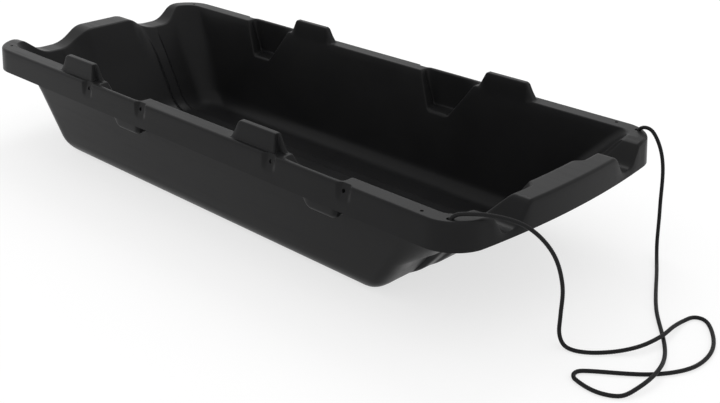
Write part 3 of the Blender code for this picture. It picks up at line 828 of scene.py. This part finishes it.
def thicken(bm):
    """Close the shell with a lower face one sheet thickness away, and a rounded free edge."""
    upper = list(bm.verts)
    way = {v: v.normal.copy() for v in upper}
    for _ in range(WAY_ROUNDS):
        way = {v: (way[v] + sum((way[e.other_vert(v)] for e in v.link_edges), Vector())
                   / max(len(v.link_edges), 1)).normalized() for v in upper}
    edges = [e for e in bm.edges if e.is_boundary]
    rim = dict.fromkeys(v for e in edges for v in e.verts)
    faces = list(bm.faces)
    lower, lip = {}, {}
    for v in upper:
        lower[v] = bm.verts.new(v.co - way[v] * WALL)
    for v in rim:
        lower[v].co.z = v.co.z
        lip[v] = bm.verts.new((v.co + lower[v].co) / 2 - Vector((0, 0, LIP)))
    for f in faces:
        bm.faces.new([lower[v] for v in reversed(f.verts)])
    for e in edges:
        loop = e.link_loops[0]
        a, b = loop.vert, loop.link_loop_next.vert
        bm.faces.new((b, a, lip[a], lip[b]))
        bm.faces.new((lip[b], lip[a], lower[a], lower[b]))
    bmesh.ops.recalc_face_normals(bm, faces=bm.faces)
    return bm


def cylinder(bm, start, axis, diameter, length):
    """Add a hole's cutter that starts at a place and runs along axis."""
    made = bmesh.ops.create_cone(bm, cap_ends=True, segments=CUTTER_SIDES, radius1=diameter / 2,
                                 radius2=diameter / 2, depth=length)
    turn = Vector(axis).to_track_quat("Z", "Y").to_matrix()
    middle = Vector(start) + Vector(axis) * (length / 2)
    for v in made["verts"]:
        v.co = turn @ v.co + middle


def metres_mesh(name, bm):
    """A mesh in metres from one in millimetres, which is used up."""
    for v in bm.verts:
        v.co *= MM
    mesh = bpy.data.meshes.new(name)
    bm.to_mesh(mesh)
    bm.free()
    return mesh


def hole_cutters():
    """All the tub's holes as one object."""
    bm = bmesh.new()
    for side in (-1, 1):
        for end, back, off, size in RIM_HOLES:
            x = (FRONT if end > 0 else REAR) - end * back
            cylinder(bm, (x, side * (HALF - off), DEPTH + CUTTER_OUT), (0, 0, -1), size,
                     RIM_HOLE_LONG)
        for pair in PAIRS:
            for u in TIE_SPOTS:
                start = (pair_x(side, pair, u), side * (HALF + CUTTER_OUT), DEPTH - TIE_DOWN)
                cylinder(bm, start, (0, -side, 0), TIE_HOLE, TIE_HOLE_LONG)
    return add("hole_cutters", metres_mesh("hole_cutters", bm))


def tub():
    """The formed sheet with its holes cut."""
    whole = add("whole_tub", metres_mesh("formed_tub", thicken(upper_face())))
    cutters = hole_cutters()
    mod = whole.modifiers.new("holes", "BOOLEAN")
    mod.operation, mod.solver, mod.object = "DIFFERENCE", "EXACT", cutters
    bpy.context.view_layer.update()
    view = bpy.context.evaluated_depsgraph_get()
    drilled = bpy.data.meshes.new_from_object(whole.evaluated_get(view))
    bpy.data.objects.remove(whole)
    bpy.data.objects.remove(cutters)
    drilled.name = "formed_tub"
    drilled.materials.clear()
    drilled.shade_smooth()
    drilled.set_sharp_from_angle(angle=math.radians(SHARP))
    return add("formed_tub", drilled, PLASTIC)


hull = tub()
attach(hull, "root")
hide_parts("hull")

# Stage

FLOOR_HALF = 40.0
GROUND = 0.80                           # the floor's albedo
GROUND_SEEN, GROUND_GLOW = 0.36, 0.68   # where it is seen or mirrored: together nearly white
SKY, SKY_SEEN = 0.86, 1.0               # the world as light, and where it is seen or mirrored
LAMP_AT, LAMP_AIM = (-1.0, 1.5, 2.7), (0.1, 0.0, 0.1)
LAMP_SIZE, LAMP_POWER = 1.6, 18.0


def seen_rays(owner):
    """1 for camera, glossy and transmission rays, so gloss shows the background too."""
    rays = node(owner, "ShaderNodeLightPath")
    seen = math_node(owner, "MAXIMUM", rays.outputs["Is Camera Ray"],
                     rays.outputs["Is Glossy Ray"])
    return math_node(owner, "MAXIMUM", seen, rays.outputs["Is Transmission Ray"])


def studio_floor():
    """Plain pale floor that keeps the object's shadow."""
    mat = bpy.data.materials.new("studio_floor")
    mat.use_nodes = True
    mat.node_tree.nodes.clear()
    out = node(mat, "ShaderNodeOutputMaterial")
    paint = node(mat, "ShaderNodeBsdfDiffuse")
    glow = node(mat, "ShaderNodeEmission")
    both = node(mat, "ShaderNodeAddShader")
    seen = seen_rays(mat)
    link(mat, math_node(mat, "MULTIPLY_ADD", seen, GROUND_SEEN - GROUND, GROUND),
         paint.inputs["Color"])
    link(mat, math_node(mat, "MULTIPLY", seen, GROUND_GLOW), glow.inputs["Strength"])
    link(mat, paint.outputs[0], both.inputs[0])
    link(mat, glow.outputs[0], both.inputs[1])
    link(mat, both.outputs[0], out.inputs["Surface"])
    return mat


def studio_world():
    """Even soft light, white where it is seen or mirrored."""
    world = bpy.data.worlds.new("studio")
    bpy.context.scene.world = world
    world.use_nodes = True
    back = world.node_tree.nodes["Background"]
    back.inputs["Color"].default_value = (1.0, 1.0, 1.0, 1.0)
    link(world, math_node(world, "MULTIPLY_ADD", seen_rays(world), SKY_SEEN - SKY, SKY),
         back.inputs["Strength"])


def make_stage():
    """Floor, world and one soft lamp."""
    mesh = bpy.data.meshes.new("studio_floor")
    h = FLOOR_HALF
    mesh.from_pydata([(-h, -h, 0), (h, -h, 0), (h, h, 0), (-h, h, 0)], [], [(0, 1, 2, 3)])
    add("studio_floor", mesh, studio_floor())
    studio_world()
    lamp = bpy.data.lights.new("softbox", "AREA")
    lamp.shape, lamp.size, lamp.energy = "DISK", LAMP_SIZE, LAMP_POWER
    aim(add("softbox", lamp), LAMP_AT, Vector(LAMP_AIM) - Vector(LAMP_AT))


make_stage()
bpy.context.scene.view_settings.view_transform = "Standard"
